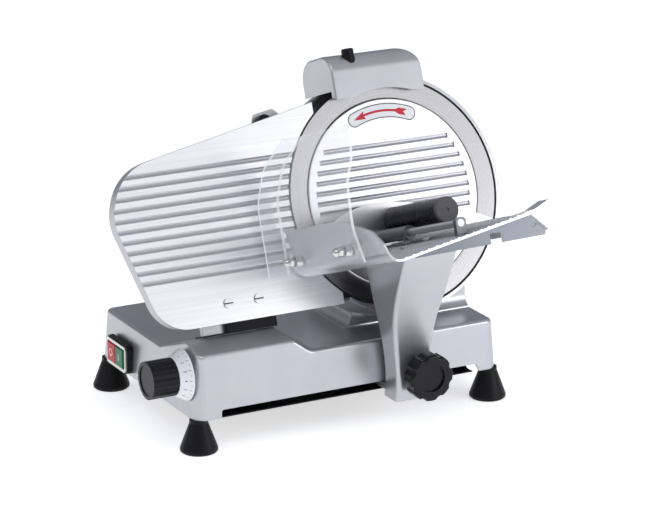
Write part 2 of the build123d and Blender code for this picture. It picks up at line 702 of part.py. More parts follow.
# ---------------------------------------------------------------- tray geometry
tray_slope = 9.8                         # rise of the tray's floor to the right, degrees
cos_a = math.cos(math.radians(tray_slope))
sin_a = math.sin(math.radians(tray_slope))
tray_corner = (-131.0, -76.2)            # sharp corner of floor and fence, right and up the face
tray_back, tray_front = 6.0, 220.0
sheet = 2.4
floor_length, fence_height = 166.4, 53.0
floor_axis = (cos_a, sin_a * sin_t, sin_a * cos_t)
fence_axis = (-sin_a, cos_a * sin_t, cos_a * cos_t)
tray_plane = Plane(origin=on_blade(*tray_corner, 0), x_dir=floor_axis, z_dir=axis_n)
fence_plane = Plane(origin=on_blade(*tray_corner, 0), x_dir=axis_n,
                    z_dir=(-floor_axis[0], -floor_axis[1], -floor_axis[2]))


def on_tray(p, q, n):
    """A point measured from the tray's corner: along the floor, up the fence, to the front."""
    x = tray_corner[0] + p * cos_a - q * sin_a
    u = tray_corner[1] + p * sin_a + q * cos_a
    return on_blade(x, u, n)


def tray_slab(p0, p1, q0, q1, n0, n1, mode=Mode.ADD):
    """A box between two corners measured like on_tray()."""
    with BuildSketch(tray_plane.offset(n0)) as outline:
        with Locations(((p0 + p1) / 2, (q0 + q1) / 2)):
            Rectangle(p1 - p0, q1 - q0)
    extrude(outline.sketch, amount=n1 - n0, mode=mode)


tray_screw_places = [(p, n) for p in (74, 102) for n in (68, 112)]
guard_bolt_places = [(141.0, -55.7), (23.8, -57.5)]      # forward, up the face
guard_inner, guard_outer = -144.0, -147.0

# ---------------------------------------------------------------- carriage arm
arm_back = -4.5
arm_sections = [(31.5, 36.5, 81, -35), (62, 37.5, 81, -35), (92, 33.5, 80.5, -37),
                (143, 22, 79.5, -57), (200, 10, 73, -94), (240, 3, 68, -122)]


def arm_column(inset, back):
    """The arm's curved body through its level sections, moved in by inset."""
    with BuildPart() as column:
        for z, x0, x1, y0 in arm_sections:
            with BuildSketch(Plane.XY.offset(z)):
                with Locations((base_x + (x0 + x1) / 2, base_y + (y0 + inset + back) / 2)):
                    RectangleRounded(x1 - x0 - 2 * inset, back - y0 - inset, 5 - inset / 2)
        loft()
    return column.part


knob_x, knob_z = 65.0, 62.5
with BuildPart() as arm_hollow:
    add(arm_column(5, arm_back + 8))
    block(-200, 200, -200, 200, 0, 80, mode=Mode.SUBTRACT)

with BuildPart() as carriage_arm:
    add(arm_column(0, arm_back))
    add(arm_hollow.part, mode=Mode.SUBTRACT)
    tray_slab(-60, 240, -sheet / 2, 120, -100, 400, mode=Mode.SUBTRACT)
    tray_slab(55, 125, -10, -sheet / 2, 52, 132)
    block(38, 80, arm_back - 6, 98, tongue_z0, tongue_z1)
    bar(at(knob_x, -40, knob_z), (0, 1, 0), 4 + running, 22, mode=Mode.SUBTRACT)
    for p, n in tray_screw_places:
        bar(on_tray(p, -9, n), fence_axis, 2.5, 12, mode=Mode.SUBTRACT)
finish(carriage_arm, "carriage_arm")

lobes = 8
lobe_front, lobe_back = -63.0, -46.0
with BuildPart() as carriage_knob:
    with BuildSketch(front_plane(lobe_back)):
        with Locations((knob_x, knob_z)):
            Circle(26)
            with PolarLocations(30.5, lobes, 22.5):
                Circle(6.5, mode=Mode.SUBTRACT)
    extrude(amount=lobe_back - lobe_front)
    fillet(edges().group_by(Axis.Y)[0], 3)
    bar(at(knob_x, lobe_front - 1, knob_z), (0, 1, 0), 15, 3.5, mode=Mode.SUBTRACT)
    bar(at(knob_x, lobe_back, knob_z), (0, 1, 0), 9, 10.4)
    bar(at(knob_x, lobe_back, knob_z), (0, 1, 0), 4, 24)
finish(carriage_knob, "carriage_knob")

# ---------------------------------------------------------------- tray
ridge_pitch = 9.2
with BuildPart() as carriage_tray:
    half = sheet / 2
    with BuildSketch(tray_plane.offset(tray_back)):
        with BuildLine():
            Polyline((-half, fence_height), (-half, -half), (floor_length - 0.5, -half), (181.5, -22.6),
                     (183.4, -21.1), (floor_length + 0.6, half), (half, half), (half, fence_height),
                     close=True)
        make_face()
        fillet(vertices().sort_by_distance((-half, -half))[0], 13)
        fillet(vertices().sort_by_distance((half, half))[0], 11)
    extrude(amount=tray_front - tray_back)
    for i in range(16):
        bar(on_tray(16 + i * ridge_pitch, 0.7, tray_back), axis_n, 1.4, tray_front - tray_back)
    # upturned tab at the right end
    with BuildSketch(tray_plane.offset(186)):
        with BuildLine():
            Polyline((floor_length - 1, -half), (183, -half), (203, 3.5), (202.5, 5.9), (183, half),
                     (floor_length - 1, half), close=True)
        make_face()
    extrude(amount=22)
    # falling front corner of the fence
    with BuildSketch(fence_plane.offset(-10)):
        with BuildLine():
            Polyline((110, 60), (110, 53.1), (140, 52), (197, 36.5), (213, 22), (220.1, 2), (240, 2),
                     (240, 60), close=True)
        make_face()
        fillet(vertices().sort_by_distance((197, 36.5))[0], 22)
        fillet(vertices().sort_by_distance((140, 52))[0], 60)
        fillet(vertices().sort_by_distance((213, 22))[0], 14)
    extrude(amount=20, mode=Mode.SUBTRACT)
    # front skirt under the floor, with a notch and a small slot
    with BuildSketch(blade_plane.offset(tray_front - sheet)):
        with BuildLine():
            Polyline((-104, -72.2), (-104, -74.6), (49, -71.5), (50, -67.5), (33, -48.4), close=True)
        make_face()
        with Locations((-9, -70)):
            Rectangle(14, 16, mode=Mode.SUBTRACT)
        with Locations((37, -60)):
            SlotOverall(7, 3, rotation=20, mode=Mode.SUBTRACT)
    extrude(amount=sheet)
    for p, n in tray_screw_places:
        bar(on_tray(p, -5, n), fence_axis, 2.5, 10, mode=Mode.SUBTRACT)
    for n, u in guard_bolt_places:
        bar(on_blade(-145, u, n), (1, 0, 0), 2.5, 20, mode=Mode.SUBTRACT)
finish(carriage_tray, "carriage_tray")

with BuildPart() as tray_screws:
    for p, n in tray_screw_places:
        bar(on_tray(p, -9, n), fence_axis, 2.5, 11.2)
        bar(on_tray(p, 2.2, n), fence_axis, 5, 1.8)
finish(tray_screws, "tray_screws")

# ---------------------------------------------------------------- hand guard
guard_plane = Plane(origin=on_blade(guard_inner, 0, 0), x_dir=axis_n, z_dir=(-1, 0, 0))
guard_sheet = guard_inner - guard_outer
with BuildPart() as hand_guard:
    with BuildSketch(guard_plane):
        with BuildLine():
            Polyline((8, -70), (187, -70), (172, -34), (176, 13), (195, 37), (200, 70), (92, 70), (35, 44),
                     (8, 8), close=True)
        make_face()
        fillet(vertices().sort_by_distance((172, -34))[0], 40)
        fillet(vertices().sort_by_distance((176, 13))[0], 30)
        fillet(vertices().sort_by_distance((195, 37))[0], 20)
        fillet(vertices().sort_by_distance((35, 44))[0], 40)
        fillet(vertices().sort_by_distance((8, 8))[0], 30)
        fillet(vertices().sort_by_distance((200, 70))[0], 8)
    extrude(amount=guard_sheet)
    # rear lip that follows the sheet's rear edge
    with BuildSketch(guard_plane):
        with BuildLine():
            Polyline((8, -70), (8, 8), (35, 44), (92, 70), (92.9, 66.8), (37, 41.2), (11, 6.8), (11, -70),
                     close=True)
        make_face()
        fillet(vertices().sort_by_distance((35, 44))[0], 40)
        fillet(vertices().sort_by_distance((37, 41.2))[0], 37)
        fillet(vertices().sort_by_distance((8, 8))[0], 30)
        fillet(vertices().sort_by_distance((11, 6.8))[0], 27)
    extrude(amount=26)
    fillet(edges().filter_by(lambda e: e.center().X < on_blade(-169, 0, 0)[0] and e.center().Z > 290), 1)
    for n, u in guard_bolt_places:
        bar(on_blade(-142, u, n), (-1, 0, 0), 2.5, 8, mode=Mode.SUBTRACT)
finish(hand_guard, "hand_guard")

with BuildPart() as guard_spacers:
    for n, u in guard_bolt_places:
        bar(on_blade(guard_inner, u, n), (1, 0, 0), 6, 7.2, 2.5)
finish(guard_spacers, "guard_spacers")

with BuildPart() as guard_bolts:
    for n, u in guard_bolt_places:
        bar(on_blade(-151, u, n), (1, 0, 0), 2.5, 20)
        bar(on_blade(-131.8, u, n), (1, 0, 0), 5, 3)
finish(guard_bolts, "guard_bolts")

nut_radius = 5.6
with BuildPart() as acorn_nuts:
    for n, u in guard_bolt_places:
        with BuildSketch(Plane(origin=on_blade(guard_outer, u, n), z_dir=(-1, 0, 0))):
            RegularPolygon(nut_radius, 6)
            Circle(2.5, mode=Mode.SUBTRACT)
        extrude(amount=4)
        bar(on_blade(guard_outer - 4, u, n), (-1, 0, 0), 4.7, 2.5)
        with BuildSketch(Plane(origin=on_blade(guard_outer - 6.5, u, n), z_dir=(0, 1, 0), x_dir=(-1, 0, 0))):
            with BuildLine():
                Line((0, 0), (4.2, 0))
                ThreePointArc((4.2, 0), (3, 3.3), (0, 4.7))
                Line((0, 4.7), (0, 0))
            make_face()
        revolve(axis=Axis(on_blade(guard_outer, u, n), (1, 0, 0)))
finish(acorn_nuts, "acorn_nuts")

# ---------------------------------------------------------------- pusher
rod_x, rod_u = -38.0, -46.0
handle_x, handle_u = -22.0, -29.5
pusher_n = 30.0
with BuildPart() as pusher_rod:
    hub(rod_x, rod_u, 9, 204, 4)
finish(pusher_rod, "pusher_rod")

with BuildPart() as rod_brackets:
    for n in (9, 198):
        slab(rod_x - 6, rod_x + 6, -62, rod_u + 6, n, n + 6)
    forward_edges = edges().filter_by(Axis(origin=(0, 0, 0), direction=axis_n))
    fillet(forward_edges.group_by(Axis((0, 0, 0), axis_u))[-1], 4)
    tray_slab(0, 160, -20, 2.15, 0, 230, mode=Mode.SUBTRACT)
    hub(rod_x, rod_u, 8, 205, 4, mode=Mode.SUBTRACT)
finish(rod_brackets, "rod_brackets")

with BuildPart() as pusher_plate:
    with BuildSketch(blade_plane.offset(pusher_n)):
        with BuildLine():
            Spline((-110, -34), (-72, -13), (-35, -9), (23, -19), (60, -29), (98, -45))
            Polyline((98, -45), (96, -47), (36, -42), (-20, -51), (-110, -59), (-110, -34))
        make_face()
    extrude(amount=2.5)
    hub(rod_x, rod_u, 29, 33, 7.5, mode=Mode.SUBTRACT)
finish(pusher_plate, "pusher_plate")

with BuildPart() as pusher_sleeve:
    hub(rod_x, rod_u, pusher_n, 92, 7.5)
    slab(rod_x - 5, rod_x + 5, -56, rod_u, 84, 88)
    hub(rod_x, rod_u, pusher_n - 1, 93, 4 + running, mode=Mode.SUBTRACT)
finish(pusher_sleeve, "pusher_sleeve")

with BuildPart() as pusher_handle:
    hub(handle_x, handle_u, pusher_n + 2.5, 147, 13.6)
finish(pusher_handle, "pusher_handle")

with BuildPart() as handle_cap:
    hub(handle_x, handle_u, 147, 151, 14)
    fillet(edges().group_by(Axis((0, 0, 0), axis_n))[-1], 1.5)
    hub(handle_x, handle_u, 150, 152, 2, mode=Mode.SUBTRACT)
finish(handle_cap, "handle_cap")
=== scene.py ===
import json
import math

import bmesh
import bpy
from mathutils import Matrix, Vector


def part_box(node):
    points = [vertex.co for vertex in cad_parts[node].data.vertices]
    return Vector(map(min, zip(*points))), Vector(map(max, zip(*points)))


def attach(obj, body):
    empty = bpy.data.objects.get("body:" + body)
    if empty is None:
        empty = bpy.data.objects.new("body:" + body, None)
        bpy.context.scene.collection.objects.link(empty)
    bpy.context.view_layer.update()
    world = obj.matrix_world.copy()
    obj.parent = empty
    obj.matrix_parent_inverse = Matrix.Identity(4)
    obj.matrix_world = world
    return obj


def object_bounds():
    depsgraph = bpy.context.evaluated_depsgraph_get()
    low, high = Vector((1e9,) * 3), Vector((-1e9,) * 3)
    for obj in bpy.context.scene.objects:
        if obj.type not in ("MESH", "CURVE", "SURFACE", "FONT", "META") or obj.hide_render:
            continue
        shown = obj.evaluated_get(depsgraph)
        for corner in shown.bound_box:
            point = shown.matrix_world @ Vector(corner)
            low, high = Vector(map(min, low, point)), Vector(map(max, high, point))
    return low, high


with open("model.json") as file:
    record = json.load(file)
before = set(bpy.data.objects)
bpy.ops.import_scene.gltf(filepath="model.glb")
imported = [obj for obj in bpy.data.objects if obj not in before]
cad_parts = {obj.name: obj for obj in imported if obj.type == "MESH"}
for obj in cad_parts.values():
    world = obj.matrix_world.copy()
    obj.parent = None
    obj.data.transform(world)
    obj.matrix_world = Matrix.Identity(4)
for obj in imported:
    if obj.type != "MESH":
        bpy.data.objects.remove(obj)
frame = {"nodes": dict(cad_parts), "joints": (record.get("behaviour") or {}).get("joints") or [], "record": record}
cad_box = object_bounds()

# Looks, lights and camera of the deli meat slicer. Metres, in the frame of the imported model.
MM = 0.001
nodes = frame["nodes"]
joints = {joint["name"]: joint for joint in frame["joints"]}

# ---------------------------------------------------------------- places taken from the frame
blade_centre = Vector(joints["blade_spin"]["pos_m"])
face_out = Vector(joints["blade_spin"]["axis"]).normalized()
face_right = Vector((1, 0, 0))
face_up = face_out.cross(face_right)
dial_centre = Vector(joints["dial_turn"]["pos_m"])
dial_range = math.radians(joints["dial_turn"]["range_deg"][1])
guard_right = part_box("hand_guard")[1][0]
ground = cad_box[0][2]


def on_face(x, u, n):
    """A point in mm from the blade's centre: right, up the face, out of the face."""
    return blade_centre + (face_right * x + face_up * u + face_out * n) * MM


tray_slope = math.radians(9.8)
tray_corner = on_face(-131.0, -76.2, 0)
fence_up = face_up * math.cos(tray_slope) - face_right * math.sin(tray_slope)
# painted tones of the aluminium parts: painted shade in the grooves, on the plates' edges and
# on the tray's skirt, and a painted highlight on the tray's bright front edge
groove_painted_shade = (0.42, 0.42, 0.46)
rim_painted_shade = (0.50, 0.50, 0.53)
skirt_painted_shade = (0.17, 0.18, 0.20)
edge_painted_highlight = (0.97, 0.97, 0.98)
skirt_drop = 1.4 * MM
slot_floor = 1.05 * MM
lip_width = 3.3 * MM

# ---------------------------------------------------------------- shader helpers
def new_material(name, colour, metallic, roughness, **sockets):
    """A Principled material with its constant values set."""
    material = bpy.data.materials.new(name)
    material.use_nodes = True
    shader = material.node_tree.nodes["Principled BSDF"]
    shader.inputs["Base Color"].default_value = (*colour, 1)
    shader.inputs["Metallic"].default_value = metallic
    shader.inputs["Roughness"].default_value = roughness
    for socket, value in sockets.items():
        shader.inputs[socket.replace("_", " ")].default_value = value
    return material


def add_node(material, kind, operation=None, **values):
    """A node whose named inputs, or i0 and i1, are numbers or other nodes' outputs."""
    tree = material.node_tree
    node = tree.nodes.new("ShaderNode" + kind)
    if operation:
        node.operation = operation
    for socket, value in values.items():
        name = socket.replace("_", " ")
        target = node.inputs[int(name[1:])] if name[1:].isdigit() else node.inputs[name]
        if isinstance(value, bpy.types.NodeSocket):
            tree.links.new(value, target)
        else:
            target.default_value = value
    return node


def noise(material, scale, stretch=(1, 1, 1), detail=3.0):
    """Noise fixed to the piece, with its cells per metre and its stretch along each axis."""
    place = add_node(material, "TexCoord").outputs["Object"]
    mapped = add_node(material, "Mapping", Vector=place, Scale=stretch).outputs["Vector"]
    return add_node(material, "TexNoise", Vector=mapped, Scale=scale, Detail=detail).outputs["Fac"]


def tilted_noise(material, scale, stretch):
    """Noise stretched along the blade face's own right, up and out axes."""
    place = add_node(material, "TexCoord").outputs["Object"]
    mapping = add_node(material, "Mapping", Vector=place, Scale=stretch)
    mapping.vector_type = "TEXTURE"
    mapping.inputs["Rotation"].default_value[0] = math.atan2(face_out[2], -face_out[1])
    mapping.inputs["Scale"].default_value = [1 / value for value in stretch]
    mapped = mapping.outputs["Vector"]
    return add_node(material, "TexNoise", Vector=mapped, Scale=scale, Detail=2.0).outputs["Fac"]


def ring_noise(material, scale):
    """Noise that changes with the distance from the blade's axis alone, as turning marks do."""
    place = add_node(material, "TexCoord").outputs["Object"]
    offset = add_node(material, "VectorMath", "SUBTRACT", i0=place, i1=blade_centre).outputs["Vector"]
    along = add_node(material, "VectorMath", "DOT_PRODUCT", i0=offset, i1=face_out).outputs["Value"]
    lifted = add_node(material, "VectorMath", "SCALE", i0=face_out, Scale=along).outputs["Vector"]
    flat = add_node(material, "VectorMath", "SUBTRACT", i0=offset, i1=lifted).outputs["Vector"]
    radius = add_node(material, "VectorMath", "LENGTH", i0=flat)
    texture = material.node_tree.nodes.new("ShaderNodeTexNoise")
    texture.noise_dimensions = "1D"
    texture.inputs["Scale"].default_value = scale
    material.node_tree.links.new(radius.outputs["Value"], texture.inputs["W"])
    return texture.outputs["Fac"]


def height_over_face(material):
    """How far a point stands out of the blade's face plane, in metres."""
    place = add_node(material, "TexCoord").outputs["Object"]
    offset = add_node(material, "VectorMath", "SUBTRACT", i0=place, i1=blade_centre).outputs["Vector"]
    return add_node(material, "VectorMath", "DOT_PRODUCT", i0=offset, i1=face_out).outputs["Value"]


def facing(material, direction, least):
    """1 where the surface faces a direction, 0 elsewhere."""
    normal = add_node(material, "NewGeometry").outputs["Normal"]
    toward = add_node(material, "VectorMath", "DOT_PRODUCT", i0=normal, i1=direction).outputs["Value"]
    return add_node(material, "Math", "GREATER_THAN", i0=toward, i1=least).outputs["Value"]


def product(material, first, second):
    return add_node(material, "Math", "MULTIPLY", i0=first, i1=second).outputs["Value"]


def opposite(material, mask):
    """1 where the mask is 0, and the other way round."""
    return add_node(material, "Math", "SUBTRACT", i0=1.0, i1=mask).outputs["Value"]


def tint(material, mask, colour):
    """Mixes the base colour towards another where the mask is 1."""
    shader = material.node_tree.nodes["Principled BSDF"]
    before = shader.inputs["Base Color"].links[0].from_socket
    mix = material.node_tree.nodes.new("ShaderNodeMixRGB")
    mix.inputs["Color2"].default_value = (*colour, 1)
    material.node_tree.links.new(mask, mix.inputs["Fac"])
    material.node_tree.links.new(before, mix.inputs["Color1"])
    to_shader(material, "Base Color", mix.outputs["Color"])


def to_shader(material, socket, value):
    shader = material.node_tree.nodes["Principled BSDF"]
    material.node_tree.links.new(value, shader.inputs[socket])


def vary_roughness(material, value, low, high):
    ranged = add_node(material, "MapRange", Value=value, To_Min=low, To_Max=high)
    to_shader(material, "Roughness", ranged.outputs["Result"])


def vary_colour(material, value, dark, light):
    ramp = add_node(material, "ValToRGB", Fac=value)
    ramp.color_ramp.elements[0].position = 0.3
    ramp.color_ramp.elements[0].color = (*dark, 1)
    ramp.color_ramp.elements[1].position = 0.7
    ramp.color_ramp.elements[1].color = (*light, 1)
    to_shader(material, "Base Color", ramp.outputs["Color"])


def add_bump(material, value, height, rounding=0.0):
    """Relief of the given height in metres, on edges rounded by the given radius."""
    bump = add_node(material, "Bump", Height=value, Distance=height)
    if rounding:
        bevel = add_node(material, "Bevel", Radius=rounding)
        material.node_tree.links.new(bevel.outputs["Normal"], bump.inputs["Normal"])
    to_shader(material, "Normal", bump.outputs["Normal"])


# ---------------------------------------------------------------- materials
def silver_paint():
    """Silver lacquer on cast aluminium, with a faint orange-peel surface."""
    material = new_material("silver_paint", (0.49, 0.50, 0.53), 0.78, 0.30)
    vary_roughness(material, noise(material, 45), 0.26, 0.34)
    vary_colour(material, noise(material, 18), (0.47, 0.48, 0.515), (0.515, 0.525, 0.555))
    add_bump(material, noise(material, 1400), 0.00003, 0.0008)
    return material


def anodised(name, dark, light, rough, spread=0.06):
    """Satin anodised aluminium, brushed along its length."""
    material = new_material(name, light, 1.0, rough)
    vary_roughness(material, tilted_noise(material, 900, (0.02, 1, 1)), rough - spread, rough + spread)
    vary_colour(material, tilted_noise(material, 350, (0.01, 1, 1)), dark, light)
    add_bump(material, tilted_noise(material, 1500, (0.015, 1, 1)), 0.00002, 0.0004)
    return material


def ribbed(name, dark, light, rough):
    """Anodised aluminium with painted shade in its grooves, darker the deeper they go, and on its edges."""
    material = anodised(name, dark, light, rough)
    # painted shade: darker the deeper a point lies in a groove of the face
    depth = add_node(material, "MapRange", Value=height_over_face(material), From_Min=-0.15 * MM,
                     From_Max=-1.2 * MM, To_Min=0.0, To_Max=1.0).outputs["Result"]
    inside = facing(material, face_out, 0.5)
    tint(material, product(material, depth, inside), groove_painted_shade)
    # painted shade on the plate's edges, the faces that turn away from the blade's face
    tint(material, opposite(material, inside), rim_painted_shade)
    return material


def tray_sheet(name, dark, light, rough):
    """Anodised sheet with a painted highlight along its front edge and painted shade on the skirt below it."""
    material = anodised(name, dark, light, rough)
    place = add_node(material, "TexCoord").outputs["Object"]
    offset = add_node(material, "VectorMath", "SUBTRACT", i0=place, i1=tray_corner).outputs["Vector"]
    height = add_node(material, "VectorMath", "DOT_PRODUCT", i0=offset, i1=fence_up).outputs["Value"]
    below = add_node(material, "Math", "LESS_THAN", i0=height, i1=-skirt_drop).outputs["Value"]
    above = opposite(material, below)
    front = facing(material, face_out, 0.9)
    # painted shade on the skirt below the tray's front edge
    tint(material, product(material, front, below), skirt_painted_shade)
    # painted highlight along the tray's front edge
    tint(material, product(material, front, above), edge_painted_highlight)
    return material


def slotted(name):
    """Bright screw heads, with painted shade round the rim and in the slot."""
    material = anodised(name, (0.72, 0.72, 0.74), (0.82, 0.82, 0.84), 0.3)
    # painted shade: nearly black below the slot's floor height, in the slot and round the head's rim
    low = add_node(material, "Math", "LESS_THAN", i0=height_over_face(material), i1=slot_floor)
    tint(material, low.outputs["Value"], (0.03, 0.03, 0.03))
    return material


def ground_steel(name, dark, light, rough):
    """Blade steel with fine rings from its grinding."""
    material = new_material(name, light, 1.0, rough)
    vary_colour(material, ring_noise(material, 900), dark, light)
    vary_roughness(material, ring_noise(material, 1500), rough - 0.05, rough + 0.07)
    add_bump(material, ring_noise(material, 2600), 0.00001)
    return material


def machined(name, colour, rough):
    material = new_material(name, colour, 1.0, rough)
    vary_roughness(material, noise(material, 500), rough - 0.05, rough + 0.05)
    add_bump(material, noise(material, 2500), 0.00001, 0.0003)
    return material


def moulded(name, colour, rough, grain=0.00003, **sockets):
    """Moulded plastic or rubber with a fine grain."""
    material = new_material(name, colour, 0.0, rough, **sockets)
    vary_roughness(material, noise(material, 120), rough - 0.06, rough + 0.06)
    add_bump(material, noise(material, 2200), grain, 0.0005)
    return material


def clear_sheet():
    """Clear bent plastic: see-through faces, with cut edges painted as highlights: more opaque, with a painted
    glow.
    """
    material = bpy.data.materials.new("clear_sheet")
    material.use_nodes = True
    tree = material.node_tree
    surface = tree.nodes["Principled BSDF"]
    surface.inputs["Base Color"].default_value = (0.86, 0.89, 0.93, 1)
    surface.inputs["Roughness"].default_value = 0.06
    surface.inputs["Emission Color"].default_value = (1, 1, 1, 1)
    outwards = add_node(material, "NewGeometry").outputs["Normal"]
    normal = add_node(material, "SeparateXYZ", Vector=outwards)
    side = add_node(material, "Math", "ABSOLUTE", i0=normal.outputs["X"])
    place = add_node(material, "SeparateXYZ", Vector=add_node(material, "TexCoord").outputs["Object"])
    # the bent lip lies to the left of the sheet, so there the faces and the edges change places
    on_lip = add_node(material, "Math", "LESS_THAN", i0=place.outputs["X"], i1=guard_right - lip_width)
    sideways = add_node(material, "Math", "GREATER_THAN", i0=side.outputs["Value"], i1=0.5)
    differs = add_node(material, "Math", "SUBTRACT", i0=on_lip.outputs["Value"],
                       i1=sideways.outputs["Value"])
    face = add_node(material, "Math", "ABSOLUTE", i0=differs.outputs["Value"])
    # painted highlight: the cut edges are more opaque than the faces
    opacity = add_node(material, "MapRange", Value=face.outputs["Value"], To_Min=0.60, To_Max=0.15)
    tree.links.new(opacity.outputs["Result"], surface.inputs["Alpha"])
    # painted glow on the cut edges, a highlight though the sheet is no lamp
    painted_glow = add_node(material, "MapRange", Value=face.outputs["Value"], To_Min=0.18, To_Max=0.0)
    tree.links.new(painted_glow.outputs["Result"], surface.inputs["Emission Strength"])
    return material


materials = {
    "cast_silver": silver_paint(),
    "bright_aluminium": ribbed("bright_aluminium", (0.78, 0.78, 0.815), (0.865, 0.865, 0.895), 0.36),
    "tray_aluminium": tray_sheet("tray_aluminium", (0.60, 0.62, 0.65), (0.68, 0.70, 0.73), 0.30),
    "blade_steel": ground_steel("blade_steel", (0.32, 0.315, 0.325), (0.40, 0.39, 0.40), 0.28),
    "machined_steel": machined("machined_steel", (0.55, 0.55, 0.57), 0.30),
    "chrome": machined("chrome", (0.62, 0.61, 0.60), 0.08),
    "black_rubber": moulded("black_rubber", (0.004, 0.004, 0.005), 0.42, 0.00008,
                            Specular_IOR_Level=0.2),
    "black_plastic": moulded("black_plastic", (0.003, 0.003, 0.004), 0.28, Specular_IOR_Level=0.25),
    "dial_white": moulded("dial_white", (0.80, 0.82, 0.86), 0.25, 0.00001),
    "clear_plastic": clear_sheet(),
    "red_plastic": moulded("red_plastic", (0.46, 0.012, 0.02), 0.22, 0.00001, Specular_IOR_Level=0.3),
    "green_plastic": moulded("green_plastic", (0.003, 0.14, 0.055), 0.22, 0.00001,
                             Specular_IOR_Level=0.3),
    "stone_brown": moulded("stone_brown", (0.30, 0.17, 0.11), 0.85, 0.0003),
}
cap_grey = moulded("cap_grey", (0.085, 0.083, 0.090), 0.45)
dull_steel = machined("dull_steel", (0.22, 0.22, 0.24), 0.42)
ink_black = moulded("ink_black", (0.02, 0.02, 0.02), 0.45, 0.00001)
ink_red = moulded("ink_red", (0.58, 0.012, 0.035), 0.40, 0.00001)
ink_white = moulded("ink_white", (0.86, 0.87, 0.90), 0.40, 0.00001)

for part in frame["record"]["subparts"]:
    piece = nodes[part["node"]]
    piece.data.materials.clear()
    piece.data.materials.append(materials[part["material_slot"]])
nodes["handle_cap"].data.materials[0] = cap_grey
nodes["gauge_screws"].data.materials[0] = slotted("slotted_steel")
for name in ("rod_brackets", "pusher_sleeve"):
    nodes[name].data.materials[0] = dull_steel


# ---------------------------------------------------------------- thin printed and moulded marks
def prism(name, outline, place, low, high, material, body):
    """A thin solid: an outline in the plane of place(a, b, height), between two heights in mm."""
    mesh = bpy.data.meshes.new(name)
    shape = bmesh.new()
    rings = [[shape.verts.new(place(a, b, height)) for a, b in outline] for height in (low, high)]
    shape.faces.new(list(reversed(rings[0])))
    shape.faces.new(rings[1])
    for i in range(len(outline)):
        after = (i + 1) % len(outline)
        shape.faces.new((rings[0][i], rings[0][after], rings[1][after], rings[1][i]))
    bmesh.ops.recalc_face_normals(shape, faces=shape.faces)
    bmesh.ops.triangulate(shape, faces=[face for face in shape.faces if len(face.verts) > 4])
    shape.to_mesh(mesh)
    shape.free()
    piece = bpy.data.objects.new(name, mesh)
    bpy.context.collection.objects.link(piece)
    mesh.materials.append(material)
    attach(piece, body)
    return piece


def arc(radius, first, last, count=24, centre=(0, 0)):
    """Points along an arc between two angles in degrees."""
    turns = [math.radians(first + (last - first) * i / count) for i in range(count + 1)]
    return [(centre[0] + radius * math.cos(turn), centre[1] + radius * math.sin(turn)) for turn in turns]


def curved_capsule(inner, outer, first, last):
    """A band between two radii about the blade's axis, with rounded ends."""
    middle = (inner + outer) / 2
    end_radius = (outer - inner) / 2
    ends = []
    for angle in (last, first):
        turn = math.radians(angle)
        ends.append((middle * math.cos(turn), middle * math.sin(turn)))
    left_end = arc(end_radius, last, last + 180, 10, ends[0])
    right_end = arc(end_radius, first + 180, first + 360, 10, ends[1])
    return arc(outer, first, last) + left_end[1:-1] + arc(inner, last, first) + right_end[1:-1]


def turning_arrow(middle, shaft, feather, head, tail, neck, tip):
    """A curved arrow about the blade's axis, from its feathered, notched tail to its tip.
    shaft, feather and head are half widths in mm; tail, neck and tip are angles in degrees."""
    feather_end, shaft_start, notch = tail + 6, tail + 9, tail + 2.5

    def spot(radius, angle):
        return (radius * math.cos(math.radians(angle)), radius * math.sin(math.radians(angle)))

    outer = [spot(middle + feather, tail), spot(middle + feather, feather_end)]
    outer += arc(middle + shaft, shaft_start, neck)
    outer += [spot(middle + head, neck - 1), spot(middle, tip)]
    inner = [spot(middle - head, neck - 1)]
    inner += arc(middle - shaft, neck, shaft_start)
    inner += [spot(middle - feather, feather_end), spot(middle - feather, tail), spot(middle, notch)]
    return outer + inner


def label_layer(name, outline, low, high, material):
    """One layer of the label that shows which way the blade turns."""
    prism(name, outline, on_face, low, high, material, "frame")


label_inner, label_outer, label_margin = 83.6, 97.4, 1.0
border = curved_capsule(label_inner - label_margin, label_outer + label_margin, 68, 112)
label_layer("arrow_label_border", border, 0.0, 0.10, ink_black)
field = curved_capsule(label_inner, label_outer, 68, 112)
label_layer("arrow_label_field", field, 0.10, 0.16, ink_white)
arrow = turning_arrow(90.5, shaft=1.3, feather=3.6, head=4.6, tail=70, neck=104, tip=112.5)
label_layer("arrow_label_arrow", arrow, 0.16, 0.22, ink_red)


def on_button(name):
    """Places marks on a button's outer face, from its middle: towards the operator, up, outwards."""
    low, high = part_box(name)
    middle = (low + high) / 2
    return lambda a, b, height: Vector((low[0] - height * MM, middle[1] - a * MM, middle[2] + b * MM))


def button_mark(name, outline, button):
    prism(name, outline, on_button(button), -0.1, 0.15, ink_white, button)


mark_half, mark_line = 4.2, 1.0
stop_ring = arc(mark_half, 90, 449, 40) + arc(mark_half - mark_line, 449, 90, 40)
button_mark("stop_mark", stop_ring, "stop_button")
start_bar = [(-0.6, -mark_half), (0.6, -mark_half), (0.6, mark_half), (-0.6, mark_half)]
button_mark("start_mark", start_bar, "start_button")


# ---------------------------------------------------------------- dial marks
scale_low, scale_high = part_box("dial_scale")
knob_low, knob_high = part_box("dial_knob")
rim_thickness = 1.4 * MM
cone_small = (knob_high[2] - knob_low[2]) / 2
cone_large = (scale_high[2] - scale_low[2]) / 2
cone_depth = scale_high[0] - rim_thickness - scale_low[0]
cone_slant = math.hypot(cone_depth, cone_large - cone_small)
last_number = 12
zero_angle = 100
tick_end = 13.6
major_tick, minor_tick = 3.4, 1.8
number_place, number_size = 6.4, 4.6


